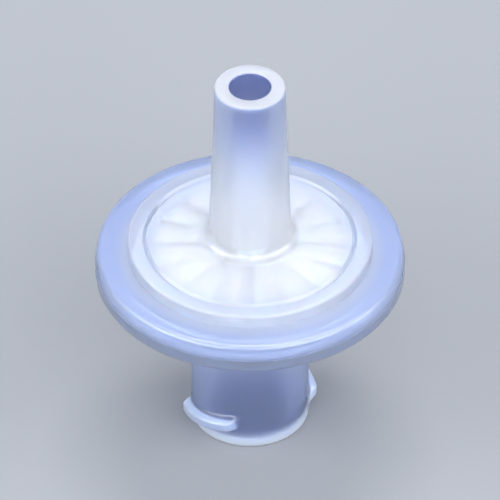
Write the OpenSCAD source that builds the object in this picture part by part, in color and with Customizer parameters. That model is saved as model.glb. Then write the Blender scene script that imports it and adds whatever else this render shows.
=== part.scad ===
// Syringe filter for a 13 mm membrane, in three pieces.
// The inlet half carries a female luer-lock hub at the bottom, and the outlet half a male
// luer-slip nozzle at the top. They are welded round the membrane.
// Millimetres, +Z up, origin at the centre of the inlet's mouth.

/* [Membrane] */
// Diameter of the filter membrane
membrane_d = 13; // [12:0.5:20]
// Thickness of the filter membrane
membrane_t = 0.15; // [0.1:0.01:0.25]
// Radial clearance of the membrane in its seat
membrane_clear = 0.1; // [0.05:0.01:0.2]
// Width of the ring that clamps the membrane's edge
clamp_w = 0.9; // [0.6:0.05:1.2]

/* [Weld joint] */
// Width of the flat weld face between the membrane's seat and the tongue
weld_face_w = 0.4; // [0.3:0.05:0.6]
// Width of the weld tongue at its root
tongue_w = 0.6; // [0.5:0.05:0.8]
// Height of the weld tongue
tongue_h = 0.45; // [0.35:0.05:0.55]
// Side clearance of the tongue in its groove
tongue_clear = 0.04; // [0.02:0.01:0.08]

/* [Housing disc] */
// Width of the flange outside the tongue
rim_w = 1.15; // [1:0.05:1.6]
// How far the inlet half's rim stands proud of the outlet half's
rim_step = 0.1; // [0.05:0.01:0.2]
// Thickness of the inlet half's flange
inlet_flange_t = 0.85; // [0.8:0.05:1.2]
// Thickness of the outlet half's flange
outlet_flange_t = 0.9; // [0.85:0.05:1.2]
// How far the raised disc on each face reaches past the membrane
raised_margin = 0.4; // [0.3:0.05:0.6]
// Height of the raised disc on the inlet face
inlet_raise_h = 0.8; // [0.6:0.05:1.2]
// Height of the raised disc on the outlet face
outlet_raise_h = 0.75; // [0.6:0.05:1.2]

/* [Chambers] */
// Depth of the inlet chamber under the membrane
inlet_chamber_h = 0.4; // [0.3:0.05:0.6]
// Depth of the drain chamber above the membrane
drain_chamber_h = 0.5; // [0.4:0.05:0.6]
// Width of a rib
rib_w = 0.45; // [0.3:0.05:0.6]
// Number of ribs in the inlet chamber
inlet_rib_count = 8; // [6:1:12]
// Gap between the inlet ribs and the membrane
inlet_rib_gap = 0.1; // [0.05:0.01:0.2]
// Number of long ribs in the drain chamber, with a short one between each two
drain_rib_count = 8; // [6:1:12]
// Distance of the ribs' inner ends from the edge of the channel or bore
rib_inset = 0.7; // [0.5:0.05:1]

/* [Inlet hub] */
// Outer diameter of the hub tube
hub_d = 6.7; // [6.5:0.05:6.75]
// Length of the hub from its mouth to the inlet face
hub_l = 9.5; // [9:0.1:12]
// Radius of the fillet between the hub and the inlet face
hub_fillet_r = 0.7; // [0.4:0.1:1.2]
// Diameter of the luer socket at its mouth
socket_d = 4.27; // [4.27:0.005:4.315]
// Depth of the luer socket
socket_depth = 8.6; // [7.5:0.1:9]
// Diameter of the channel from the socket to the inlet chamber
channel_d = 2; // [1.6:0.1:2.6]

/* [Luer-lock lugs] */
// Diameter across the two lugs
lug_d = 7.8; // [7.73:0.01:7.83]
// Angle that each lug covers
lug_angle = 84; // [60:1:110]
// Width of a lug at its base, along the axis
lug_base_w = 1.15; // [0.9:0.05:1.3]
// Width of a lug at its crest, along the axis
lug_crest_w = 0.5; // [0.3:0.05:0.6]
// Distance of a lug's low end from the mouth
lug_start_z = 0.1; // [0:0.05:0.3]
// Direction in which the first lug begins, counted from +X
lug_turn = 178; // [0:1:180]

/* [Outlet nozzle] */
// Length of the nozzle above the outlet face
nozzle_l = 11; // [9:0.1:13]
// Diameter of the nozzle at its end
nozzle_d = 3.98; // [3.925:0.005:3.99]
// Diameter of the bore through the nozzle
bore_d = 2.3; // [1.8:0.1:2.6]
// Radius of the fillet at the nozzle's foot
nozzle_fillet_r = 0.8; // [0.4:0.1:1.2]

/* [Outlet face] */
// Distance of the face groove from the raised disc's edge
groove_inset = 0.85; // [0.7:0.05:1.1]
// Width of the face groove
groove_w = 0.3; // [0.2:0.05:0.4]
// Depth of the face groove
groove_t = 0.16; // [0.1:0.02:0.25]
// Width of the flat land between the groove and the shallow cone
land_w = 0.45; // [0.3:0.05:0.8]
// Height of the shallow cone that rises to the nozzle's foot
cone_h = 0.3; // [0.1:0.05:0.4]

/* [Hidden] */
$fn = 96;

LUER_TAPER = 0.06;  // change of diameter per length, 6 %
LUER_LEAD = 5;      // lead of the double-start luer-lock thread
LUG_COUNT = 2;
LUG_RUN_OUT = 12;   // angle over which a lug's end runs out into the tube
LUG_STEP = 4;       // angle between two sections of a lug
LUG_ROOT = 0.3;     // how deep a lug's root goes into the tube's wall
EDGE_R = 0.15;      // small moulded edges
RIM_R = 0.3;        // edges of the flange
TONGUE_DRAFT = 0.05;  // draft on each side of the tongue, over its height
ARC_STEPS = 6;      // straight steps that make up a rounded edge

// Radii, from the membrane outwards
membrane_r = membrane_d / 2;
seat_r = membrane_r + membrane_clear;
chamber_r = membrane_r - clamp_w;
tongue_r = seat_r + weld_face_w;
tongue_outer_r = tongue_r + tongue_w;
rim_r = tongue_outer_r + rim_w;
outlet_rim_r = rim_r - rim_step;
raised_r = membrane_r + raised_margin;
groove_r = raised_r - groove_inset;
cone_r = groove_r - groove_w - land_w;

// Heights, from the inlet's mouth upwards
inlet_face_z = hub_l;
flange_z = inlet_face_z + inlet_raise_h;
weld_z = flange_z + inlet_flange_t;
membrane_z = weld_z - membrane_t;
chamber_z = membrane_z - inlet_chamber_h;
drain_z = weld_z + drain_chamber_h;
outlet_flange_z = weld_z + outlet_flange_t;
outlet_face_z = outlet_flange_z + outlet_raise_h;
foot_z = outlet_face_z + cone_h;
nozzle_end_z = outlet_face_z + nozzle_l;

// Hub and nozzle
hub_r = hub_d / 2;
socket_r = socket_d / 2;
socket_floor_r = socket_r - socket_depth * LUER_TAPER / 2;
channel_r = channel_d / 2;
bore_r = bore_d / 2;
nozzle_r = nozzle_d / 2;
foot_r = nozzle_r + (nozzle_end_z - foot_z) * LUER_TAPER / 2 + nozzle_fillet_r;

// Points of an arc about centre c, from angle a to angle b
function arc(c, r, a, b) =
    [for (i = [0:ARC_STEPS]) let (t = a + (b - a) * i / ARC_STEPS) c + r * [cos(t), sin(t)]];

// Spokes from radius r to past the chamber's wall, between heights z and z + h
module ribs(count, turn, r, z, h) {
    for (i = [0:count - 1])
        rotate(turn + i * 360 / count) {
            translate([r, -rib_w / 2, z]) cube([chamber_r + rib_w / 2 - r, rib_w, h]);
            translate([r, 0, z]) cylinder(d = rib_w, h = h);
        }
}

// One luer-lock lug: a short length of right-hand thread whose ends run out into the tube
module lug() {
    steps = ceil(lug_angle / LUG_STEP);
    flank = (lug_base_w - lug_crest_w) / 2;
    root_r = hub_r - LUG_ROOT;
    sections = [for (i = [0:steps])
        let (
            a = lug_angle * i / steps,
            rise = sin(90 * min(1, a / LUG_RUN_OUT, (lug_angle - a) / LUG_RUN_OUT)),
            crest_r = root_r + LUG_ROOT / 2 + (lug_d / 2 - root_r - LUG_ROOT / 2) * rise,
            z = lug_start_z + LUER_LEAD * a / 360
        )
        [for (p = [[root_r, 0], [crest_r, flank], [crest_r, flank + lug_crest_w], [root_r, lug_base_w]])
            [p[0] * cos(a), p[0] * sin(a), z + p[1]]]];
    n = len(sections[0]);
    sides = [for (i = [0:steps - 1], j = [0:n - 1])
        let (k = (j + 1) % n, here = i * n, there = (i + 1) * n)
        each [[here + j, here + k, there + k], [here + j, there + k, there + j]]];
    first = [for (j = [n - 1:-1:0]) j];
    last = [for (j = [0:n - 1]) steps * n + j];
    polyhedron(points = [for (s = sections) each s], faces = concat(sides, [first, last]));
}

// Half-section of the inlet half: channel, socket, hub, inlet face, rim, tongue and chamber
function inlet_section() = concat(
    [[channel_r, chamber_z], [channel_r, socket_depth], [socket_floor_r, socket_depth]],
    arc([socket_r + EDGE_R, EDGE_R], EDGE_R, 180, 270),
    arc([hub_r - EDGE_R, EDGE_R], EDGE_R, 270, 360),
    arc([hub_r + hub_fillet_r, inlet_face_z - hub_fillet_r], hub_fillet_r, 180, 90),
    arc([raised_r - EDGE_R, inlet_face_z + EDGE_R], EDGE_R, 270, 360),
    [[raised_r, flange_z]],
    arc([rim_r - RIM_R, flange_z + RIM_R], RIM_R, 270, 360),
    [
        [rim_r, weld_z],
        [tongue_outer_r, weld_z],
        [tongue_outer_r - TONGUE_DRAFT, weld_z + tongue_h],
        [tongue_r + TONGUE_DRAFT, weld_z + tongue_h],
        [tongue_r, weld_z],
        [seat_r, weld_z],
        [seat_r, membrane_z],
        [chamber_r, membrane_z],
        [chamber_r, chamber_z]
    ]
);

// Half-section of the outlet half: bore, nozzle, outlet face, rim, weld groove and drain
function outlet_section() = concat(
    [[bore_r, drain_z], [bore_r, nozzle_end_z - EDGE_R], [bore_r + EDGE_R, nozzle_end_z]],
    arc([nozzle_r - EDGE_R, nozzle_end_z - EDGE_R], EDGE_R, 90, 0),
    arc([foot_r, foot_z + nozzle_fillet_r], nozzle_fillet_r, 180, 270),
    [
        [cone_r, outlet_face_z],
        [groove_r - groove_w, outlet_face_z],
        [groove_r - groove_w / 2, outlet_face_z - groove_t],
        [groove_r, outlet_face_z]
    ],
    arc([raised_r - EDGE_R, outlet_face_z - EDGE_R], EDGE_R, 90, 0),
    [[raised_r, outlet_flange_z]],
    arc([outlet_rim_r - RIM_R, outlet_flange_z - RIM_R], RIM_R, 90, 0),
    [
        [outlet_rim_r, weld_z],
        [tongue_outer_r + tongue_clear, weld_z],
        [tongue_outer_r + tongue_clear - TONGUE_DRAFT, weld_z + tongue_h],
        [tongue_r - tongue_clear + TONGUE_DRAFT, weld_z + tongue_h],
        [tongue_r - tongue_clear, weld_z],
        [chamber_r, weld_z],
        [chamber_r, drain_z]
    ]
);

// Lower half: luer-lock hub, inlet chamber with its ribs, membrane seat and weld tongue
module inlet_housing() {
    rib_root = rib_w / 2;  // how far the ribs go into the chamber's floor
    color("aliceblue") {
        rotate_extrude() polygon(inlet_section());
        ribs(inlet_rib_count, 0, channel_r + rib_inset, chamber_z - rib_root,
            inlet_chamber_h - inlet_rib_gap + rib_root);
        for (i = [0:LUG_COUNT - 1])
            rotate(lug_turn + i * 360 / LUG_COUNT) lug();
    }
}

// Upper half: luer-slip nozzle, drain chamber with the ribs that back the membrane, weld groove
module outlet_housing() {
    rib_h = drain_chamber_h + rib_w / 2;  // the ribs go into the chamber's ceiling
    long_r = bore_r + rib_inset;
    short_r = (long_r + chamber_r) / 2;
    color("aliceblue") {
        rotate_extrude() polygon(outlet_section());
        ribs(drain_rib_count, 0, long_r, weld_z, rib_h);
        ribs(drain_rib_count, 180 / drain_rib_count, short_r, weld_z, rib_h);
    }
}

module membrane() {
    color("white") translate([0, 0, membrane_z]) cylinder(r = membrane_r, h = membrane_t);
}

inlet_housing();
outlet_housing();
membrane();
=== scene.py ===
"""Looks of a syringe filter: two welded halves of moulded polypropylene round a porous membrane.

The halves are closed sections turned about the flow axis. Their ribs and luer-lock lugs come from
Geometry Nodes. All sizes are in metres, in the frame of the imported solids.
"""

import logging
import math
from collections.abc import Mapping, Sequence
from dataclasses import asdict, dataclass, field
from enum import Enum
from typing import Any, ClassVar

import bpy
from mathutils import Matrix, Vector


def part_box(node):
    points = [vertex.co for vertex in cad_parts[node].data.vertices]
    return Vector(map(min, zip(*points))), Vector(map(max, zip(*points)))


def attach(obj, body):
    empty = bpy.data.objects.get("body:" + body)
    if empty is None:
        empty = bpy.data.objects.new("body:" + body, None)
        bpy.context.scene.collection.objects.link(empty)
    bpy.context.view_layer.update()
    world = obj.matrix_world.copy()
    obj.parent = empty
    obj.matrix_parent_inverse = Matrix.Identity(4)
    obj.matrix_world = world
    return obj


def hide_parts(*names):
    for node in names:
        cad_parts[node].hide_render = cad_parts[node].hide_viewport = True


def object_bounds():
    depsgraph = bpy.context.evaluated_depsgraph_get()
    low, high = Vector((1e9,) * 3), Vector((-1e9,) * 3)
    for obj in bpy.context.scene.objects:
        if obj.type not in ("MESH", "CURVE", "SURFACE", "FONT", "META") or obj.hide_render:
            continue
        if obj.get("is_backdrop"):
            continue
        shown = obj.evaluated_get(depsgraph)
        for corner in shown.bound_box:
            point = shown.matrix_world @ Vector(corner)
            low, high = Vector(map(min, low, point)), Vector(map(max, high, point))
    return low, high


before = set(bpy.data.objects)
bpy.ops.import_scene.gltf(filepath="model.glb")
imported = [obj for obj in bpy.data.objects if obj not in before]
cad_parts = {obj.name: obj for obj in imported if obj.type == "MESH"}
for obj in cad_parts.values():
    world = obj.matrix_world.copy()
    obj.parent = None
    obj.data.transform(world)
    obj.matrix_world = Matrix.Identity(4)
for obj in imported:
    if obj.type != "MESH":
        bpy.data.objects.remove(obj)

log = logging.getLogger("syringe_filter")

Colour = tuple[float, float, float, float]

MM = 0.001
SAME_POINT = 0.0001 * MM  # points closer together than this are merged
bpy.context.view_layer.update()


# ---------------------------------------------------------------------------------------------
# Node trees
# ---------------------------------------------------------------------------------------------


class Signal:
    """A number, vector or colour on its way through a node tree, written as an expression."""

    def __init__(self, graph: "Graph", socket: bpy.types.NodeSocket) -> None:
        """Wraps an output socket of a node.

        Args:
            graph: the tree that the socket is in.
            socket: the output socket.
        """
        self.graph = graph
        self.socket = socket

    def maths(self, operation: str, *others: "Signal | float") -> "Signal":
        """A Math node on this value and others.

        Args:
            operation: the Math node's operation.
            others: the node's further values.

        Returns:
            The node's result.
        """
        return self.graph.maths(operation, self, *others)

    def __add__(self, other: "Signal | float") -> "Signal":
        """This value plus another."""
        return self.maths("ADD", other)

    def __radd__(self, other: float) -> "Signal":
        """A number plus this value."""
        return self.graph.maths("ADD", other, self)

    def __sub__(self, other: "Signal | float") -> "Signal":
        """This value less another."""
        return self.maths("SUBTRACT", other)

    def __rsub__(self, other: float) -> "Signal":
        """A number less this value."""
        return self.graph.maths("SUBTRACT", other, self)

    def __mul__(self, other: "Signal | float") -> "Signal":
        """This value times another."""
        return self.maths("MULTIPLY", other)

    def __rmul__(self, other: float) -> "Signal":
        """A number times this value."""
        return self.graph.maths("MULTIPLY", other, self)

    def __truediv__(self, other: "Signal | float") -> "Signal":
        """This value divided by another."""
        return self.maths("DIVIDE", other)

    def __rtruediv__(self, other: float) -> "Signal":
        """A number divided by this value."""
        return self.graph.maths("DIVIDE", other, self)

    def __abs__(self) -> "Signal":
        """This value without its sign."""
        return self.maths("ABSOLUTE")

    def __lt__(self, other: "Signal | float") -> "Signal":
        """1 where this value is below another, else 0."""
        return self.maths("LESS_THAN", other)

    def __gt__(self, other: "Signal | float") -> "Signal":
        """1 where this value is above another, else 0."""
        return self.maths("GREATER_THAN", other)

    def blend(self, low: "Signal | float", high: "Signal | float") -> "Signal":
        """A smooth step from 0 to 1 as this value goes from one limit to the other.

        Args:
            low: the value at which the step is 0.
            high: the value at which it is 1.

        Returns:
            The step.
        """
        ends = {"Value": self, "From Min": low, "From Max": high}
        return self.graph.add("ShaderNodeMapRange", {"interpolation_type": "SMOOTHSTEP"}, ends)


Plug = Signal | float | int | bool | str | Sequence[float] | bpy.types.ID


class Graph:
    """A node tree that is filled by one method for every kind of node."""

    def __init__(self, tree: bpy.types.NodeTree) -> None:
        """Takes a tree to fill.

        Args:
            tree: a material's, a world's or a Geometry Nodes tree.
        """
        self.tree = tree

    def add(
        self,
        kind: str,
        settings: Mapping[str, Any] | None = None,
        inputs: Mapping[str | int, Plug | Sequence[Signal]] | None = None,
        output: str | int = 0,
    ) -> Signal:
        """Adds a node.

        Args:
            kind: the node's type.
            settings: its settings, which are set before its sockets.
            inputs: values or links for its sockets, by name or number.
            output: the output that is wanted.

        Returns:
            That output, or the first input of a node that ends the tree.
        """
        node = self.tree.nodes.new(kind)
        for name, value in (settings or {}).items():
            setattr(node, name, value)
        for key, value in (inputs or {}).items():
            self.plug(node.inputs[key], value)
        sockets = node.outputs if len(node.outputs) else node.inputs
        return Signal(self, sockets[output])

    def plug(self, socket: bpy.types.NodeSocket, value: "Plug | Sequence[Signal]") -> None:
        """Links a signal to a socket, or sets the socket's own value.

        Args:
            socket: an input socket.
            value: a signal, several signals for a socket that takes them, or a plain value.
        """
        several = isinstance(value, (list, tuple)) and value and isinstance(value[0], Signal)
        for one in value if several else [value]:
            if isinstance(one, Signal):
                self.tree.links.new(one.socket, socket)
            else:
                socket.default_value = one

    def maths(self, operation: str, *values: "Signal | float") -> Signal:
        """Adds a Math node.

        Args:
            operation: the node's operation.
            values: its values, in order.

        Returns:
            The node's result.
        """
        return self.add("ShaderNodeMath", {"operation": operation}, dict(enumerate(values)))

    def vector(self, x: "Signal | float", y: "Signal | float", z: "Signal | float") -> Signal:
        """A vector from its three parts."""
        return self.add("ShaderNodeCombineXYZ", inputs={0: x, 1: y, 2: z})

    def parts(self, vector: Signal) -> tuple[Signal, Signal, Signal]:
        """Takes a vector apart.

        Args:
            vector: the vector.

        Returns:
            Its three parts.
        """
        first = self.add("ShaderNodeSeparateXYZ", inputs={0: vector})
        x, y, z = first.socket.node.outputs
        return Signal(self, x), Signal(self, y), Signal(self, z)

    def off_axis(self, x: Signal, y: Signal) -> Signal:
        """The distance of a point from the flow axis."""
        return self.maths("SQRT", x * x + y * y)


class FormTree(Graph):
    """A Geometry Nodes tree with named inputs, which ends in Realize Instances and Set Material."""

    KINDS: ClassVar[dict[type, str]] = {int: "NodeSocketInt", float: "NodeSocketFloat"}

    def __init__(self, name: str, sizes: Mapping[str, float | int]) -> None:
        """Starts a tree.

        Args:
            name: the tree's name.
            sizes: its named inputs with the values that the modifier will get.
        """
        super().__init__(bpy.data.node_groups.new(name, "GeometryNodeTree"))
        self.sizes = dict(sizes)
        self.socket("Geometry", "NodeSocketGeometry")
        self.keys = {
            label: self.socket(label, self.KINDS[type(value)]) for label, value in self.sizes.items()
        }
        self.finish_key = self.socket("Finish", "NodeSocketMaterial")
        self.socket("Geometry", "NodeSocketGeometry", side="OUTPUT")
        self.entry = self.tree.nodes.new("NodeGroupInput")
        self.geometry = self.given("Geometry")

    def socket(self, label: str, kind: str, side: str = "INPUT") -> str:
        """Adds an input or output to the tree.

        Args:
            label: its name.
            kind: the type of its socket.
            side: whether it is an INPUT or an OUTPUT.

        Returns:
            Its identifier.
        """
        return self.tree.interface.new_socket(label, in_out=side, socket_type=kind).identifier

    def given(self, label: str) -> Signal:
        """One of the tree's own inputs, by name."""
        return Signal(self, self.entry.outputs[label])

    def thickened(self, flat: Signal, height: Signal) -> Signal:
        """Raises a flat mesh into a closed body.

        Args:
            flat: the mesh.
            height: how high the body is.

        Returns:
            The body.
        """
        raised = self.add(
            "GeometryNodeExtrudeMesh",
            {"mode": "FACES"},
            {"Mesh": flat, "Offset": (0.0, 0.0, 1.0), "Offset Scale": height, "Individual": False},
        )
        under = self.add("GeometryNodeFlipFaces", inputs={"Mesh": flat})
        both = self.add("GeometryNodeJoinGeometry", inputs={"Geometry": [raised, under]})
        return self.add("GeometryNodeMergeByDistance", inputs={"Geometry": both, "Distance": SAME_POINT})

    def end(self, geometry: Signal) -> None:
        """Ends the tree.

        Args:
            geometry: what the tree has made.
        """
        plain = self.add("GeometryNodeRealizeInstances", inputs={"Geometry": geometry})
        dressed = self.add(
            "GeometryNodeSetMaterial", inputs={"Geometry": plain, "Material": self.given("Finish")}
        )
        self.add("NodeGroupOutput", inputs={"Geometry": dressed})

    def put_on(self, obj: bpy.types.Object, finish: bpy.types.Material) -> None:
        """Adds the tree to an object as a modifier and sets its inputs.

        Args:
            obj: the object whose mesh the tree works on.
            finish: the material that it sets.
        """
        modifier = obj.modifiers.new(self.tree.name, "NODES")
        modifier.node_group = self.tree
        for label, value in self.sizes.items():
            modifier[self.keys[label]] = value
        modifier[self.finish_key] = finish


# ---------------------------------------------------------------------------------------------
# Finishes
# ---------------------------------------------------------------------------------------------


class PatternScale(Enum):
    """How many repeats of a pattern fit in a metre."""

    PORE = 26000.0
    GRAIN = 9000.0
    FLOW = 420.0
    CLOUD = 150.0


# Its colour carries painted light: the membrane's glow near it, painted shade in the bore and round the
# open end, and a milkier lip as a painted highlight.
@dataclass(frozen=True)
class MouldedPolypropylene:
    """Natural, milky polypropylene: satin outside, polished where a core pin formed its bore.

    Attributes:
        name: the material's name.
        core_r: radius of the hole that the core pin formed, at its widest.
        mouth_z: height at which the hole's wall is clearest, and darkest with painted shade.
        fade_z: height at which it is as milky and as pale as the rest.
        sheet_z: height of the white membrane, whose glow is painted onto the walls near it.
        glow_near: distance along the axis up to which that painted glow is full.
        glow_far: distance at which it has gone.
        face_z: height of the end face.
        lip_h: height of the milky lip next to the end face.
        lip_r: radius of the wall there, beyond which lugs stand out.
        lip_share: how much milkier, so whiter, the lip is made as a painted highlight, from 0 to 1.
        well_share: strength of the painted shade round the open end, from 0 to 1.
        lit: painted glow of the membrane, the colour near it; the end faces take it too.
        deep: the plastic's own colour away from the membrane.
        shaded: painted shade round the open end.
        core: painted shade on the wall that the core pin formed.
        satin, matt: roughness of the skin, which flow lines vary between the two.
        polish, frost: roughness of the bore's wall and of the end face.
        milk_depth: how deep light wanders about in the plastic.
        clearness, clearness_at_end: share of light that a clear and a milky wall let through.
        glow_share: how much milkier the walls over the membrane are made, a painted glow.
            open_r, seal_r: radii between which the membrane's painted glow drops by seal_share.
        raised_r, flange_r: radii between which the rest of it drops.
        well_h: depth from the end face up to which that painted shade reaches.
        lug_h, lug_reach: height of a lug, and how far up the lip reaches for each unit of it.
        skin_gloss, skin_roughness: weight and roughness of the glossy skin.
        cloudiness: how unevenly the walls away from the membrane take their colour.
        flow_lines: the noise's values between which a flow line passes from satin to matt.
        grain_depth, flow_depth: depth of the mould's grain and of the flow lines.
        face_edge, core_edge: distances from the end face and from the bore's wall at which a
        point no longer counts as on it, and up to which it fully does.
    """

    IOR: ClassVar[float] = 1.49
    name: str
    core_r: float
    mouth_z: float
    fade_z: float
    sheet_z: float
    glow_near: float
    glow_far: float
    face_z: float
    lip_h: float
    lip_r: float
    lip_share: float
    well_share: float
    # painted glow of the membrane
    lit: Colour = (0.88, 0.90, 0.94, 1.0)
    deep: Colour = (0.59, 0.69, 1.0, 1.0)
    # painted shade round the open end
    shaded: Colour = (0.52, 0.63, 0.97, 1.0)
    # painted shade on the bore's wall
    core: Colour = (0.12, 0.15, 0.38, 1.0)
    satin: float = 0.28
    matt: float = 0.38
    polish: float = 0.12
    frost: float = 0.85
    milk_depth: float = 0.9 * MM
    clearness: float = 0.89
    clearness_at_end: float = 0.3
    glow_share: float = 0.11
    open_r: float = 4.6 * MM
    seal_r: float = 6.0 * MM
    raised_r: float = 6.8 * MM
    flange_r: float = 7.8 * MM
    seal_share: float = 0.45
    well_h: float = 7.0 * MM
    lug_h: float = 0.5 * MM
    lug_reach: float = 5.0
    skin_gloss: float = 0.4
    skin_roughness: float = 0.16
    cloudiness: float = 0.2
    flow_lines: tuple[float, float] = (0.25, 0.75)
    grain_depth: float = 0.007 * MM
    flow_depth: float = 0.02 * MM
    face_edge: tuple[float, float] = (0.1 * MM, 0.01 * MM)
    core_edge: tuple[float, float] = (0.08 * MM, 0.008 * MM)

    def material(self) -> bpy.types.Material:
        """Makes the material.

        Returns:
            A material whose colour, gloss and relief vary as a moulding's do.
        """
        made, graph, place = new_surface(self.name)
        cloud = noise(graph, place, PatternScale.CLOUD, detail=2.0)
        flow = noise(graph, place, PatternScale.FLOW, detail=3.0)
        grain = noise(graph, place, PatternScale.GRAIN, detail=2.0)
        x, y, z = graph.parts(place)
        radius = graph.off_axis(x, y)
        from_end = abs(z - self.face_z)
        frosted = from_end.blend(*self.face_edge)
        # the bore's wall is polished and darkened with painted shade, most at the mouth
        cored = self.cored(radius, z)
        # away is 0 where the membrane's glow is painted onto the walls, 1 where it is not
        away = self.away(radius, z)
        depth = away * (1.0 - self.cloudiness + self.cloudiness * cloud) * (1.0 - frosted)
        wall = mixed(graph, depth, self.lit, self.deep)
        # painted shade: the wall round the open end is tinted dark blue
        wall = mixed(graph, self.well(from_end) * self.well_share, wall, self.shaded)
        rough = self.satin + (self.matt - self.satin) * flow.blend(*self.flow_lines)
        rough = rough * (1.0 - cored) + self.polish * cored
        sunk = bump(graph, flow, self.flow_depth)
        skin: dict[str | int, Plug] = {
            "Base Color": mixed(graph, cored, wall, self.core),
            "Roughness": rough * (1.0 - frosted) + self.frost * frosted,
            "Normal": bump(graph, grain, self.grain_depth, under=sunk),
            "IOR": self.IOR,
            "Subsurface Weight": 1.0,
            "Subsurface Radius": (1.0, 1.05, 1.15),
            "Subsurface Scale": self.milk_depth,
            "Coat Weight": self.skin_gloss,
            "Coat Roughness": self.skin_roughness,
            "Coat IOR": self.IOR,
        }
        clear, milky = (
            graph.add("ShaderNodeBsdfPrincipled", inputs={**skin, "Transmission Weight": weight})
            for weight in (self.clearness, self.clearness_at_end)
        )
        # painted glow: the walls over the membrane are made milkier, so whiter
        glow = (1.0 - away) * self.glow_share
        # painted highlight: the lip and lugs are made milkier, so they look lit
        milk = (self.lip(radius, from_end) * self.lip_share).maths("MAXIMUM", glow)
        shader = graph.add("ShaderNodeMixShader", inputs={0: milk, 1: clear, 2: milky})
        graph.add("ShaderNodeOutputMaterial", inputs={"Surface": shader})
        return made

    def away(self, radius: Signal, z: Signal) -> Signal:
        """Finds the walls away from the white membrane, whose glow is painted onto those near it.

        Args:
            radius: distance from the flow axis.
            z: height.

        Returns:
            0 near the membrane, 1 on the flange, the hub and the nozzle's end.
        """
        seal = radius.blend(self.open_r, self.seal_r) * self.seal_share
        flange = radius.blend(self.raised_r, self.flange_r) * (1.0 - self.seal_share)
        along = abs(z - self.sheet_z).blend(self.glow_near, self.glow_far)
        return (seal + flange).maths("MAXIMUM", along)

    def well(self, from_end: Signal) -> Signal:
        """Finds the wall round the open end, which takes painted shade as if the dark inside showed
        through.

        Args:
            from_end: distance from the end face along the axis.

        Returns:
            1 round the open end, 0 on the lip and further in.
        """
        full_h = 0.4 * self.well_h
        lip_low, lip_high = 0.5 * self.lip_h, 1.5 * self.lip_h
        return from_end.blend(self.well_h, full_h) * from_end.blend(lip_low, lip_high)

    def lip(self, radius: Signal, from_end: Signal) -> Signal:
        """Finds the lip next to the end face, and the lugs on it, which are made milkier as a painted
        highlight.

        Args:
            radius: distance from the flow axis.
            from_end: distance from the end face along the axis.

        Returns:
            1 at the end face, less towards the lugs' crests, 0 beyond the lip.
        """
        full_h, crest_loss = 0.2 * self.lip_h, 0.4
        out = (radius - self.lip_r).maths("MAXIMUM", 0.0).maths("MINIMUM", self.lug_h)
        near = (from_end - out * self.lug_reach).blend(self.lip_h, full_h)
        return near * (1.0 - crest_loss * out / self.lug_h)

    def cored(self, radius: Signal, z: Signal) -> Signal:
        """Finds the walls that a core pin formed, which are clearest at the mouth and take painted
        shade, most there.

        Args:
            radius: distance from the flow axis.
            z: height.

        Returns:
            1 on those walls at the mouth, less further in, 0 elsewhere.
        """
        outer, inner = (self.core_r + edge for edge in self.core_edge)
        return radius.blend(outer, inner) * z.blend(self.fade_z, self.mouth_z)


@dataclass(frozen=True)
class PorousMembrane:
    """A white microporous sheet, matt and slightly uneven.

    Attributes:
        name: the material's name.
        white, shade: the two whites that it varies between.
        patches: the noise's values between which one white passes into the other.
        roughness, unevenness: its roughness, and how much the pores add to it.
        pore_depth: depth of the pores.
        milk_share, milk_depth: share of light that goes into the sheet, and how deep.
    """

    name: str
    white: Colour = (0.74, 0.75, 0.76, 1.0)
    shade: Colour = (0.69, 0.70, 0.715, 1.0)
    patches: tuple[float, float] = (0.35, 0.75)
    roughness: float = 0.86
    unevenness: float = 0.1
    pore_depth: float = 0.006 * MM
    milk_share: float = 0.4
    milk_depth: float = 0.2 * MM

    def material(self) -> bpy.types.Material:
        """Makes the material.

        Returns:
            A matt white with the fine relief of an open pore structure.
        """
        made, graph, place = new_surface(self.name)
        pore = noise(graph, place, PatternScale.PORE, detail=3.0)
        cloud = noise(graph, place, PatternScale.FLOW, detail=2.0)
        shader = graph.add(
            "ShaderNodeBsdfPrincipled",
            inputs={
                "Base Color": mixed(graph, cloud.blend(*self.patches), self.white, self.shade),
                "Roughness": self.roughness + self.unevenness * pore,
                "Normal": bump(graph, pore, self.pore_depth),
                "Subsurface Weight": self.milk_share,
                "Subsurface Scale": self.milk_depth,
            },
        )
        graph.add("ShaderNodeOutputMaterial", inputs={"Surface": shader})
        return made


@dataclass(frozen=True)
class StudioPaper:
    """The pale paper that the filter stands on.

    Attributes:
        name: the material's name.
        colour: its colour.
        roughness, unevenness: its roughness, and how much the fibres add to it.
        gloss: the strength of its highlights.
    """

    name: str = "studio_paper"
    colour: Colour = (0.19, 0.197, 0.208, 1.0)
    roughness: float = 0.85
    unevenness: float = 0.1
    gloss: float = 0.1

    def material(self) -> bpy.types.Material:
        """Makes the material.

        Returns:
            A matt paper with faint fibres.
        """
        made, graph, place = new_surface(self.name)
        fibre = noise(graph, place, PatternScale.FLOW, detail=2.0)
        shader = graph.add(
            "ShaderNodeBsdfPrincipled",
            inputs={
                "Base Color": self.colour,
                "Roughness": self.roughness + self.unevenness * fibre,
                "Specular IOR Level": self.gloss,
            },
        )
        graph.add("ShaderNodeOutputMaterial", inputs={"Surface": shader})
        return made


def new_surface(name: str) -> tuple[bpy.types.Material, Graph, Signal]:
    """Starts a material.

    Args:
        name: the material's name.

    Returns:
        The material, its empty tree and the place on the object.
    """
    made = bpy.data.materials.new(name)
    made.use_nodes = True
    made.node_tree.nodes.clear()
    graph = Graph(made.node_tree)
    here = graph.add("ShaderNodeTexCoord", output="Object")
    return made, graph, graph.add("ShaderNodeMapping", inputs={"Vector": here})


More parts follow.
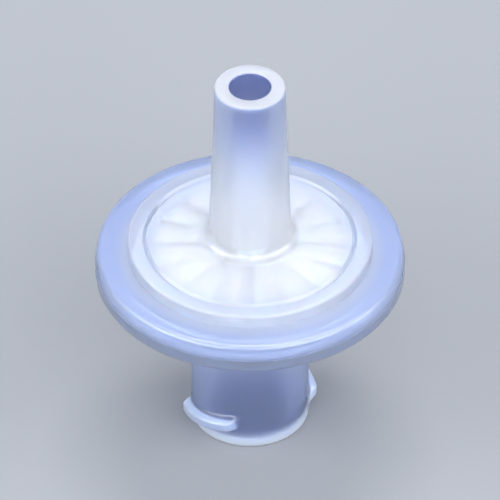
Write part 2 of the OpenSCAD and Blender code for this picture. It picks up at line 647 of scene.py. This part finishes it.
def noise(graph: Graph, place: Signal, scale: PatternScale, detail: float) -> Signal:
    """Soft noise between 0 and 1.

    Args:
        graph: the material's tree.
        place: where on the object.
        scale: the pattern's scale.
        detail: how many finer octaves it has.

    Returns:
        The noise.
    """
    return graph.add(
        "ShaderNodeTexNoise", inputs={"Vector": place, "Scale": scale.value, "Detail": detail}
    )


def mixed(graph: Graph, share: Signal, first: Signal | Colour, second: Signal | Colour) -> Signal:
    """A blend of two colours.

    Args:
        graph: the material's tree.
        share: how much of the second colour there is, from 0 to 1.
        first: the first colour.
        second: the second colour.

    Returns:
        The blended colour.
    """
    return graph.add(
        "ShaderNodeMix",
        {"data_type": "RGBA"},
        {"Factor": share, "A": first, "B": second},
        output="Result",
    )


def bump(graph: Graph, height: Signal, depth: float, under: Signal | None = None) -> Signal:
    """Relief from a height.

    Args:
        graph: the material's tree.
        height: the height, from 0 to 1.
        depth: how deep a height of 1 is.
        under: relief that this one lies on.

    Returns:
        The normal.
    """
    inputs: dict[str | int, Plug] = {"Height": height, "Distance": depth}
    if under is not None:
        inputs["Normal"] = under
    return graph.add("ShaderNodeBump", inputs=inputs)


# ---------------------------------------------------------------------------------------------
# Sections and forms
# ---------------------------------------------------------------------------------------------


class Section:
    """A closed outline in the plane of radius and height, which is turned about the flow axis."""

    ARC_STEPS = 8

    def __init__(self) -> None:
        """Starts with no points."""
        self.points: list[tuple[float, float]] = []

    def to(self, r: float, z: float, steps: int = 1) -> "Section":
        """Adds a straight line.

        Args:
            r: the radius that it goes to.
            z: the height that it goes to.
            steps: how many pieces it is cut into.

        Returns:
            The section itself.
        """
        r0, z0 = self.points[-1] if self.points else (r, z)
        for i in range(1, steps + 1):
            self.points.append((r0 + (r - r0) * i / steps, z0 + (z - z0) * i / steps))
        return self

    def arc(self, r: float, z: float, radius: float, start: float, end: float) -> "Section":
        """Adds a round edge or fillet.

        Args:
            r: the radius of the arc's centre from the axis.
            z: the height of its centre.
            radius: the arc's own radius.
            start: the angle at which it starts, in degrees.
            end: the angle at which it ends.

        Returns:
            The section itself.
        """
        for i in range(self.ARC_STEPS + 1):
            angle = math.radians(start + (end - start) * i / self.ARC_STEPS)
            self.points.append((r + radius * math.cos(angle), z + radius * math.sin(angle)))
        return self

    def mesh(self, name: str) -> bpy.types.Mesh:
        """The outline as a closed loop of edges, with radius along X and height along Z.

        Args:
            name: the mesh's name.

        Returns:
            The mesh.
        """
        loop = bpy.data.meshes.new(name)
        count = len(self.points)
        following = self.points[1:] + self.points[:1]
        area = sum(r0 * z1 - r1 * z0 for (r0, z0), (r1, z1) in zip(self.points, following))
        if area > 0:  # the turned faces point outwards only from a clockwise outline
            self.points.reverse()
        edges = [(i, (i + 1) % count) for i in range(count)]
        loop.from_pydata([(r, 0.0, z) for r, z in self.points], edges, [])
        return loop


def turned(segments: int) -> FormTree:
    """The tree that turns a closed section about the axis.

    Args:
        segments: how many steps the turn has.

    Returns:
        The tree.
    """
    tree = FormTree("turned_body", {"segments": segments, "path_r": 1.0 * MM})
    path_r = tree.given("path_r")
    r, _, z = tree.parts(tree.add("GeometryNodeInputPosition"))
    outline = tree.add("GeometryNodeMeshToCurve", inputs={"Mesh": tree.geometry})
    flat = tree.add(
        "GeometryNodeSetPosition",
        inputs={"Geometry": outline, "Position": tree.vector(r - path_r, 0.0 - z, 0.0)},
    )
    circle = tree.add(
        "GeometryNodeCurvePrimitiveCircle",
        inputs={"Resolution": tree.given("segments"), "Radius": path_r},
    )
    path = tree.add("GeometryNodeSetCurveNormal", {"mode": "Z_UP"}, {"Curve": circle})
    tree.end(tree.add("GeometryNodeCurveToMesh", inputs={"Curve": path, "Profile Curve": flat}))
    return tree


@dataclass(frozen=True)
class RibRing:
    """A ring of round-ended ribs that stand in a chamber.

    Attributes:
        END_ROUND, END_STEPS: radius of a rib's corners as a share of its width, and their steps.
        count: how many ribs there are.
        turn: angle of the first rib from +X.
        inner_r, wall_r: radii at which the inner ends are centred, and of the chamber's wall.
        width: a rib's width.
        base_z, height: height at which the ribs begin, and how high they are from there.
    """

    END_ROUND: ClassVar[float] = 0.49
    END_STEPS: ClassVar[int] = 6
    count: int
    turn: float
    inner_r: float
    wall_r: float
    width: float
    base_z: float
    height: float

    def tree(self) -> FormTree:
        """The tree that joins the ribs to the body.

        Returns:
            The tree.
        """
        tree = FormTree("rib_ring", asdict(self))
        count, turn, width = tree.given("count"), tree.given("turn"), tree.given("width")
        inner_r, wall_r = tree.given("inner_r"), tree.given("wall_r")
        length = wall_r - inner_r + width
        outline = tree.add(
            "GeometryNodeCurvePrimitiveQuadrilateral", inputs={"Width": length, "Height": width}
        )
        rounded = tree.add(
            "GeometryNodeFilletCurve",
            {"mode": "POLY"},
            {"Curve": outline, "Count": self.END_STEPS, "Radius": width * self.END_ROUND},
        )
        foot = tree.add("GeometryNodeFillCurve", {"mode": "NGONS"}, {"Curve": rounded})
        rib = tree.thickened(foot, tree.given("height"))
        centre = inner_r - width * 0.5 + length * 0.5
        placed = tree.add(
            "GeometryNodeTransform",
            inputs={
                "Geometry": rib,
                "Translation": tree.vector(centre, 0.0, tree.given("base_z")),
            },
        )
        spots = tree.add("GeometryNodePoints", inputs={"Count": count})
        step = tree.add("GeometryNodeInputIndex")
        ring = tree.add(
            "GeometryNodeInstanceOnPoints",
            inputs={
                "Points": spots,
                "Instance": placed,
                "Rotation": tree.vector(0.0, 0.0, turn + step * math.tau / count),
            },
        )
        ribs = tree.add("GeometryNodeRealizeInstances", inputs={"Geometry": ring})
        tree.end(
            tree.add(
                "GeometryNodeMeshBoolean",
                {"operation": "UNION", "solver": "MANIFOLD"},
                {"Mesh 2": [tree.geometry, ribs]},
            )
        )
        return tree


@dataclass(frozen=True)
class LuerLugs:
    """The two lugs of a female luer lock: short lengths of a right-hand double-start thread.

    Attributes:
        hub_r, crest_r: radii of the wall that the lugs stand on and of their crests.
        base_w, crest_w: a lug's width at its root and at its crest.
        start_z: height of the lower edge of a lug where it begins.
        lead: how far the thread climbs in one turn.
        angle, turn: how far round a lug reaches, and where the first one begins from +X.
        run_out: the angle in which each end runs out into the wall.
        softness: how far the edges of the flanks are rounded.
        wall_t, slack: how far inside and outside the wall's radius a point counts as on it.
        count: how many lugs there are.
    """

    hub_r: float
    crest_r: float = 3.9 * MM
    base_w: float = 1.15 * MM
    crest_w: float = 0.5 * MM
    start_z: float = 0.1 * MM
    lead: float = 5.0 * MM
    angle: float = math.radians(84)
    turn: float = math.radians(178)
    run_out: float = math.radians(14)
    softness: float = 0.05 * MM
    wall_t: float = 0.2 * MM
    slack: float = 0.01 * MM
    count: int = 2

    def reach_z(self) -> float:
        """The height up to which the lugs reach."""
        return self.start_z + self.base_w + self.lead * self.angle / math.tau + 2 * self.softness

    def tree(self) -> FormTree:
        """The tree that raises the lugs from the hub's outer wall.

        Returns:
            The tree.
        """
        tree = FormTree("luer_lugs", asdict(self))
        given = tree.given
        x, y, z = tree.parts(tree.add("GeometryNodeInputPosition"))
        radius = tree.off_axis(x, y)
        angle = tree.maths("ARCTAN2", y, x) - given("turn")
        along = angle.maths("WRAP", math.tau / given("count"), 0.0)
        middle = given("start_z") + given("base_w") * 0.5 + given("lead") * along / math.tau
        root = given("base_w") * 0.5 + given("softness")
        crest = given("crest_w") * 0.5 - given("softness")
        flank = abs(z - middle).blend(root, crest)
        begin = along.blend(0.0, given("run_out"))
        rise = begin * along.blend(given("angle"), given("angle") - given("run_out"))
        height = (given("crest_r") - given("hub_r")) * flank * rise
        above = radius > given("hub_r") - given("wall_t")
        outside = above * (radius < given("hub_r") + given("slack"))
        low = z < self.reach_z()
        tree.end(
            tree.add(
                "GeometryNodeSetPosition",
                inputs={
                    "Geometry": tree.geometry,
                    "Selection": outside * low,
                    "Offset": tree.vector(x / radius * height, y / radius * height, 0.0),
                },
            )
        )
        return tree


# ---------------------------------------------------------------------------------------------
# The filter
# ---------------------------------------------------------------------------------------------


@dataclass(frozen=True)
class Datum:
    """Places that the pieces share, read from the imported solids.

    Attributes:
        mouth_z: height of the inlet hub's mouth, which the filter stands on.
        membrane_z: height of the membrane's lower face.
        weld_z: height of the face on which the two halves are welded.
        end_z: height of the outlet nozzle's end.
        rim_r, outlet_rim_r: radii of the inlet half's and the outlet half's rim.
        membrane_r: radius of the membrane.
    """

    mouth_z: float
    membrane_z: float
    weld_z: float
    end_z: float
    rim_r: float
    outlet_rim_r: float
    membrane_r: float

    @classmethod
    def from_frame(cls) -> "Datum":
        """Reads the places from the frame.

        Returns:
            The places.
        """
        inlet_low, inlet_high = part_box("inlet_housing")
        outlet_low, outlet_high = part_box("outlet_housing")
        sheet_low, sheet_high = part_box("membrane")
        return cls(
            mouth_z=inlet_low.z,
            membrane_z=sheet_low.z,
            weld_z=outlet_low.z,
            end_z=outlet_high.z,
            rim_r=inlet_high.x,
            outlet_rim_r=outlet_high.x,
            membrane_r=sheet_high.x,
        )


@dataclass
class Moulding:
    """What the two halves share: the weld joint, the chambers' wall and the way they are made.

    Attributes:
        datum: the places that the pieces share.
        edge_r, rim_edge_r: radii of the small round edges and of those on the rim.
        chamber_r: radius of the chambers' wall.
        seat_r: radius of the recess that the membrane lies in.
        tongue_r, tongue_w, tongue_h: inner radius, width and height of the weld tongue.
        tongue_draft: how much each side of the tongue leans in.
        raised_r: radius of the raised round on either face.
        rib_w, rib_inset: a rib's width, and how far from the channel's wall it begins.
        rib_count: how many long ribs a chamber has.
        seam: gap that is left between the two weld faces.
        segments: how many steps the turn has.
        node, slot: the solid that the half stands for and the material slot of its finish.
    """

    datum: Datum
    edge_r: float = 0.15 * MM
    rim_edge_r: float = 0.3 * MM
    chamber_r: float = 5.6 * MM
    seat_r: float = 6.6 * MM
    tongue_r: float = 7.0 * MM
    tongue_w: float = 0.6 * MM
    tongue_h: float = 0.45 * MM
    tongue_draft: float = 0.05 * MM
    raised_r: float = 6.9 * MM
    rib_w: float = 0.45 * MM
    rib_inset: float = 0.7 * MM
    rib_count: int = 8
    seam: float = 0.01 * MM
    segments: int = 256
    node: ClassVar[str] = ""
    slot: ClassVar[str] = ""

    def section(self) -> Section:
        """The half's section."""
        raise NotImplementedError

    def forms(self) -> list[FormTree]:
        """The trees that make the half from its section."""
        raise NotImplementedError

    def finish(self) -> MouldedPolypropylene:
        """The plastic that the half is made of."""
        raise NotImplementedError

    def build(self) -> bpy.types.Object:
        """Turns the section, adds the forms and puts the half in place of its solid.

        Returns:
            The half.
        """
        name = self.node.replace("housing", "half")
        plastic = self.finish().material()
        source = bpy.data.objects.new(name, self.section().mesh(name))
        bpy.context.scene.collection.objects.link(source)
        for tree in [turned(self.segments), *self.forms()]:
            tree.put_on(source, plastic)
        return settle(source, self.node, self.slot)


@dataclass
class InletHalf(Moulding):
    """The lower half: luer-lock hub, inlet chamber with its ribs, membrane seat and weld tongue.

    Attributes:
        flange_z, face_z: heights of the flange's underside and of the raised round's.
        chamber_h, rib_gap: depth of the chamber, and how far below its top the ribs stop.
        hub_r, hub_fillet_r: radii of the hub and of the fillet at its root.
        socket_r, socket_depth: the luer socket's radius at its mouth, and its depth.
        luer_taper: the taper of the socket's diameter.
        channel_r: radius of the channel from the socket to the chamber.
        lug_rows: rows of faces on the wall that the lugs are raised from.
        lugs: the lugs.
        chamber_z: height of the chamber's floor.
        socket_floor_r: the socket's radius at its floor.
    """

    flange_z: float = 10.3 * MM
    face_z: float = 9.5 * MM
    chamber_h: float = 0.4 * MM
    rib_gap: float = 0.1 * MM
    hub_r: float = 3.35 * MM
    hub_fillet_r: float = 0.7 * MM
    socket_r: float = 2.135 * MM
    socket_depth: float = 8.6 * MM
    luer_taper: float = 0.06
    channel_r: float = 1.0 * MM
    lug_rows: int = 90
    lugs: LuerLugs = field(init=False)
    chamber_z: float = field(init=False)
    socket_floor_r: float = field(init=False)
    node: ClassVar[str] = "inlet_housing"
    slot: ClassVar[str] = "inlet_polypropylene"

    def __post_init__(self) -> None:
        """Works out the lugs, the chamber's floor and the socket's floor."""
        self.lugs = LuerLugs(hub_r=self.hub_r)
        self.chamber_z = self.datum.membrane_z - self.chamber_h
        self.socket_floor_r = self.socket_r - self.socket_depth * self.luer_taper / 2

    def finish(self) -> MouldedPolypropylene:
        """The plastic, with the socket and the channel formed by a core pin."""
        return MouldedPolypropylene(
            "inlet_polypropylene_looks",
            # core_r, mouth_z and fade_z place the polish and the painted shade of the socket
            core_r=self.socket_r,
            mouth_z=self.datum.mouth_z,
            fade_z=self.socket_depth,
            sheet_z=self.datum.membrane_z,
            glow_near=2.5 * MM,
            glow_far=7.0 * MM,
            face_z=self.datum.mouth_z,
            lip_h=1.2 * MM,
            lip_r=self.hub_r,
            # painted highlight on the hub's lip and lugs
            lip_share=0.8,
            # painted shade round the hub's open end
            well_share=1.0,
        )

    def section(self) -> Section:
        """Draws the section from the chamber down the socket, up the hub and round the rim.

        Returns:
            The section.
        """
        datum, edge, rim_edge, fillet = self.datum, self.edge_r, self.rim_edge_r, self.hub_fillet_r
        tongue_outer_r = self.tongue_r + self.tongue_w
        return (
            Section()
            .to(self.channel_r, self.chamber_z)
            .to(self.channel_r, self.socket_depth)
            .to(self.socket_floor_r, self.socket_depth)
            .arc(self.socket_r + edge, datum.mouth_z + edge, edge, 180, 270)
            .arc(self.hub_r - edge, datum.mouth_z + edge, edge, 270, 360)
            .to(self.hub_r, self.lugs.reach_z(), steps=self.lug_rows)
            .arc(self.hub_r + fillet, self.face_z - fillet, fillet, 180, 90)
            .arc(self.raised_r - edge, self.face_z + edge, edge, 270, 360)
            .to(self.raised_r, self.flange_z)
            .arc(datum.rim_r - rim_edge, self.flange_z + rim_edge, rim_edge, 270, 360)
            .to(datum.rim_r, datum.weld_z)
            .to(tongue_outer_r, datum.weld_z)
            .to(tongue_outer_r - self.tongue_draft, datum.weld_z + self.tongue_h)
            .to(self.tongue_r + self.tongue_draft, datum.weld_z + self.tongue_h)
            .to(self.tongue_r, datum.weld_z)
            .to(self.seat_r, datum.weld_z)
            .to(self.seat_r, datum.membrane_z)
            .to(self.chamber_r, datum.membrane_z)
            .to(self.chamber_r, self.chamber_z)
        )

    def forms(self) -> list[FormTree]:
        """Makes the ribs of the inlet chamber and the lugs.

        Returns:
            Their trees, in that order.
        """
        root = self.rib_w / 2
        ribs = RibRing(
            count=self.rib_count,
            turn=0.0,
            inner_r=self.channel_r + self.rib_inset,
            wall_r=self.chamber_r,
            width=self.rib_w,
            base_z=self.chamber_z - root,
            height=self.chamber_h - self.rib_gap + root,
        )
        return [ribs.tree(), self.lugs.tree()]


@dataclass
class OutletHalf(Moulding):
    """The upper half: luer-slip nozzle, drain chamber with its ribs, and weld groove.

    Attributes:
        flange_z, face_z: heights of the flange's and the raised round's upper face.
        foot_z: height of the nozzle's foot, on the low cone that rises to it.
        chamber_h: depth of the drain chamber.
        tongue_clear: clearance between the inlet half's tongue and the groove's sides.
        groove_r, groove_w, groove_t: outer radius, width and depth of the face's fine groove.
        cone_r: radius at which the low cone meets the face.
        nozzle_r, nozzle_fillet_r: radii of the nozzle's end and of the fillet at its foot.
        luer_taper: the taper of the nozzle's diameter.
        bore_r: radius of the bore.
    """

    flange_z: float = 12.05 * MM
    face_z: float = 12.8 * MM
    foot_z: float = 13.1 * MM
    chamber_h: float = 0.5 * MM
    tongue_clear: float = 0.04 * MM
    groove_r: float = 6.05 * MM
    groove_w: float = 0.3 * MM
    groove_t: float = 0.16 * MM
    cone_r: float = 5.3 * MM
    nozzle_r: float = 1.99 * MM
    nozzle_fillet_r: float = 0.8 * MM
    luer_taper: float = 0.06
    bore_r: float = 1.15 * MM
    node: ClassVar[str] = "outlet_housing"
    slot: ClassVar[str] = "outlet_polypropylene"

    def finish(self) -> MouldedPolypropylene:
        """The plastic, with the bore formed by a core pin."""
        return MouldedPolypropylene(
            "outlet_polypropylene_looks",
            # core_r, mouth_z and fade_z place the polish and the painted shade of the bore
            core_r=self.bore_r,
            mouth_z=self.datum.end_z - 1.0 * MM,
            fade_z=self.foot_z + 5.5 * MM,
            sheet_z=self.datum.membrane_z,
            glow_near=4.0 * MM,
            glow_far=13.0 * MM,
            face_z=self.datum.end_z,
            lip_h=0.4 * MM,
            lip_r=self.nozzle_r,
            lip_share=0.2,
            well_share=0.0,
        )

    def section(self) -> Section:
        """Draws the section from the drain up the bore, down the nozzle and round the rim.

        Returns:
            The section.
        """
        datum, edge, rim_edge, clear = self.datum, self.edge_r, self.rim_edge_r, self.tongue_clear
        drain_z = datum.weld_z + self.chamber_h
        joint_z = datum.weld_z + self.seam
        foot_r = self.nozzle_r + (datum.end_z - self.foot_z) * self.luer_taper / 2 + self.nozzle_fillet_r
        tongue_outer_r = self.tongue_r + self.tongue_w
        tongue_top = joint_z + self.tongue_h
        return (
            Section()
            .to(self.bore_r, drain_z)
            .arc(self.bore_r + edge, datum.end_z - edge, edge, 180, 90)
            .arc(self.nozzle_r - edge, datum.end_z - edge, edge, 90, 0)
            .arc(foot_r, self.foot_z + self.nozzle_fillet_r, self.nozzle_fillet_r, 180, 270)
            .to(self.cone_r, self.face_z)
            .to(self.groove_r - self.groove_w, self.face_z)
            .to(self.groove_r - self.groove_w / 2, self.face_z - self.groove_t)
            .to(self.groove_r, self.face_z)
            .arc(self.raised_r - edge, self.face_z - edge, edge, 90, 0)
            .to(self.raised_r, self.flange_z)
            .arc(datum.outlet_rim_r - rim_edge, self.flange_z - rim_edge, rim_edge, 90, 0)
            .to(datum.outlet_rim_r, joint_z)
            .to(tongue_outer_r + clear, joint_z)
            .to(tongue_outer_r + clear - self.tongue_draft, tongue_top)
            .to(self.tongue_r - clear + self.tongue_draft, tongue_top)
            .to(self.tongue_r - clear, joint_z)
            .to(self.chamber_r, joint_z)
            .to(self.chamber_r, drain_z)
        )

    def forms(self) -> list[FormTree]:
        """Makes the long ribs of the drain chamber, and a short one between each two.

        Returns:
            Their trees.
        """
        long_r = self.bore_r + self.rib_inset
        shared = {
            "count": self.rib_count,
            "wall_r": self.chamber_r,
            "width": self.rib_w,
            "base_z": self.datum.weld_z + self.seam,
            "height": self.chamber_h + self.rib_w / 2,
        }
        long_ribs = RibRing(turn=0.0, inner_r=long_r, **shared)
        short_ribs = RibRing(
            turn=math.pi / self.rib_count, inner_r=(long_r + self.chamber_r) / 2, **shared
        )
        return [long_ribs.tree(), short_ribs.tree()]


@dataclass
class FilterSheet:
    """The porous membrane, pinched at its edge and slightly pillowed between the drain ribs.

    Attributes:
        CENTRE: a distance so small that a point nearer the centre counts as at it.
        RISE, FALL: shares of the free radius between which the pillows rise, and fall again.
        datum: the places that the pieces share.
        rib_count: how many drain ribs there are, long and short.
        rows: points along each side of the grid that the sheet is made from.
        pillow_h: height of a pillow.
        free_r: radius out to which the sheet isn't pinched.
        slack: gap that is left below and above the sheet.
    """

    CENTRE: ClassVar[float] = 1e-6
    RISE: ClassVar[tuple[float, float]] = (0.15, 0.6)
    FALL: ClassVar[tuple[float, float]] = (1.0, 0.8)
    datum: Datum
    rib_count: int = 16
    rows: int = 97
    pillow_h: float = 0.03 * MM
    free_r: float = 5.6 * MM
    slack: float = 0.005 * MM

    def tree(self, thickness: float) -> FormTree:
        """The tree that makes the sheet from a square grid, so that it has no pole.

        Args:
            thickness: the sheet's thickness.

        Returns:
            The tree.
        """
        tree = FormTree(
            "porous_sheet",
            {
                "sheet_r": self.datum.membrane_r,
                "free_r": self.free_r,
                "rows": self.rows,
                "rib_count": self.rib_count,
                "pillow_h": self.pillow_h,
                "thickness": thickness,
                "base_z": self.datum.membrane_z + self.slack,
            },
        )
        given = tree.given
        grid = tree.add(
            "GeometryNodeMeshGrid",
            inputs={
                "Size X": 2.0,
                "Size Y": 2.0,
                "Vertices X": given("rows"),
                "Vertices Y": given("rows"),
            },
        )
        x, y, _ = tree.parts(tree.add("GeometryNodeInputPosition"))
        square = abs(x).maths("MAXIMUM", abs(y))
        reach = tree.off_axis(x, y).maths("MAXIMUM", self.CENTRE)
        scale = given("sheet_r") * square / reach
        angle = tree.maths("ARCTAN2", y, x)
        between = 0.5 - 0.5 * tree.maths("COSINE", angle * given("rib_count"))
        share = square * given("sheet_r") / given("free_r")
        bulge = between * share.blend(*self.RISE) * share.blend(*self.FALL) * given("pillow_h")
        disc = tree.add(
            "GeometryNodeSetPosition",
            inputs={
                "Geometry": grid,
                "Position": tree.vector(x * scale, y * scale, given("base_z") + bulge),
            },
        )
        tree.end(tree.thickened(disc, given("thickness")))
        return tree

    def build(self, finish: bpy.types.Material) -> bpy.types.Object:
        """Makes the sheet and puts it in place of its solid.

        Args:
            finish: the material that it is made of.

        Returns:
            The sheet.
        """
        name = "filter_membrane"
        source = bpy.data.objects.new(name, bpy.data.meshes.new(name))
        bpy.context.scene.collection.objects.link(source)
        thickness = self.datum.weld_z - self.datum.membrane_z - 2 * self.slack
        self.tree(thickness).put_on(source, finish)
        piece = settle(source, "membrane", "membrane")
        return piece


def baked(source: bpy.types.Object) -> bpy.types.Mesh:
    """Works an object's modifiers out and removes them.

    Args:
        source: the object.

    Returns:
        The mesh that they give.
    """
    evaluated = source.evaluated_get(bpy.context.evaluated_depsgraph_get())
    mesh = bpy.data.meshes.new_from_object(evaluated)
    source.modifiers.clear()
    return mesh


def settle(source: bpy.types.Object, node: str, slot: str) -> bpy.types.Object:
    """Turns an object with its modifiers into a plain mesh that stands for a solid.

    Args:
        source: the object with its modifiers.
        node: the solid that it stands for.
        slot: the material slot that it takes its finish from; not used.

    Returns:
        The finished piece.
    """
    smooth_up_to = math.radians(32)
    source.data = baked(source)
    source.data.shade_smooth()
    source.data.set_sharp_from_angle(angle=smooth_up_to)
    weights = source.modifiers.new("even_normals", "WEIGHTED_NORMAL")
    weights.keep_sharp = True
    source.data = baked(source)
    source.data.name = source.name
    finish = [material for material in source.data.materials if material]
    source.data.materials.clear()
    for material in finish:
        source.data.materials.append(material)
    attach(source, "root")
    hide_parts(node)
    log.info("%s stands for %s: %d faces", source.name, node, len(source.data.polygons))
    return source


# ---------------------------------------------------------------------------------------------
# Studio
# ---------------------------------------------------------------------------------------------


@dataclass(frozen=True)
class Softbox:
    """An oblong area lamp that looks at the filter.

    Attributes:
        name: the lamp's name.
        turn, rise: degrees round from the front, to the right, and degrees above the floor.
        distance: how far it is from the filter.
        width, height: its size.
        power: its power in watts.
        colour: the colour of its light.
    """

    name: str
    turn: float
    rise: float
    distance: float
    width: float
    height: float
    power: float
    colour: tuple[float, float, float] = (1.0, 1.0, 1.0)

    def place(self, target: Vector) -> None:
        """Puts the lamp up.

        Args:
            target: what it looks at.
        """
        lamp = bpy.data.lights.new(self.name, "AREA")
        lamp.shape = "RECTANGLE"
        lamp.size = self.width
        lamp.size_y = self.height
        lamp.energy = self.power
        lamp.color = self.colour
        obj = bpy.data.objects.new(self.name, lamp)
        bpy.context.scene.collection.objects.link(obj)
        away = direction(self.turn, self.rise)
        obj.location = target + away * self.distance
        obj.rotation_euler = away.to_track_quat("Z", "Y").to_euler()
        obj.visible_camera = False


@dataclass
class Studio:
    """Floor, lamps, surroundings and camera.

    Attributes:
        camera_rise: how many degrees the camera is above the filter's level.
        camera_lens, sensor: focal length and width of the sensor, in millimetres.
        view_width: width of what the camera sees at the filter.
        view_depth: distance beyond which it sees nothing.
        floor_r, floor_step: radius of the floor, and degrees between its corners.
        sky, sky_strength: colour and strength of the light from all round.
    """

    camera_rise: float = 40.2
    camera_lens: float = 600.0
    sensor: float = 36.0
    view_width: float = 28.2 * MM
    view_depth: float = 10.0
    floor_r: float = 3.0
    floor_step: int = 15
    sky: Colour = (0.66, 0.77, 1.0, 1.0)
    sky_strength: float = 0.75

    def build(self) -> None:
        """Sets up everything round the filter."""
        low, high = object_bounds()
        middle = (low + high) / 2
        self.floor()
        self.surroundings()
        side = {"rise": 33.0, "distance": 0.85, "width": 1.5, "height": 0.35}
        front = {"rise": 50.0, "distance": 1.3, "width": 0.8, "height": 0.8}
        top = {"rise": 68.0, "distance": 1.2, "width": 0.6, "height": 0.5}
        for box in (
            Softbox("softbox_top", turn=175.0, power=11.0, colour=(1.0, 0.985, 0.96), **top),
            Softbox("softbox_front", turn=10.0, power=8.5, **front),
            Softbox("softbox_left", turn=300.0, power=13.5, **side),
            Softbox("softbox_right", turn=60.0, power=12.5, **side),
        ):
            box.place(middle)
        self.camera(middle)

    def floor(self) -> None:
        """The floor that the filter stands on."""
        disc = bpy.data.meshes.new("studio_floor")
        rim = [direction(turn, 0.0) * self.floor_r for turn in range(0, 360, self.floor_step)]
        disc.from_pydata(rim, [], [list(range(len(rim)))])
        disc.materials.append(StudioPaper().material())
        obj = bpy.data.objects.new("studio_floor", disc)
        bpy.context.scene.collection.objects.link(obj)
        obj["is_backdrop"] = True

    def surroundings(self) -> None:
        """Even pale light from all round."""
        world = bpy.data.worlds.new("studio")
        world.use_nodes = True
        world.node_tree.nodes.clear()
        graph = Graph(world.node_tree)
        sky = graph.add(
            "ShaderNodeBackground", inputs={"Color": self.sky, "Strength": self.sky_strength}
        )
        graph.add("ShaderNodeOutputWorld", inputs={"Surface": sky})
        bpy.context.scene.world = world
        bpy.context.scene.view_settings.view_transform = "Standard"

    def camera(self, middle: Vector) -> None:
        """The camera, in front of the filter and above it.

        Args:
            middle: the point that it looks at.
        """
        lens = bpy.data.cameras.new("camera")
        lens.lens = self.camera_lens
        lens.sensor_width = self.sensor
        lens.clip_end = self.view_depth
        obj = bpy.data.objects.new("camera", lens)
        bpy.context.scene.collection.objects.link(obj)
        away = direction(0.0, self.camera_rise)
        obj.location = middle + away * (self.view_width * self.camera_lens / self.sensor)
        obj.rotation_euler = away.to_track_quat("Z", "Y").to_euler()
        bpy.context.scene.camera = obj


def direction(turn: float, rise: float) -> Vector:
    """A direction away from the filter.

    Args:
        turn: degrees round from the front, to the right.
        rise: degrees above the floor.

    Returns:
        A vector of length 1.
    """
    round_z = Matrix.Rotation(math.radians(turn), 3, "Z")
    up = math.radians(rise)
    return round_z @ Vector((0.0, -math.cos(up), math.sin(up)))


def main() -> None:
    """Builds the filter, then the studio."""
    logging.basicConfig(level=logging.INFO, format="%(name)s: %(message)s")
    datum = Datum.from_frame()
    InletHalf(datum).build()
    OutletHalf(datum).build()
    FilterSheet(datum).build(PorousMembrane("membrane_looks").material())
    Studio().build()


if __name__ == "__main__":
    main()
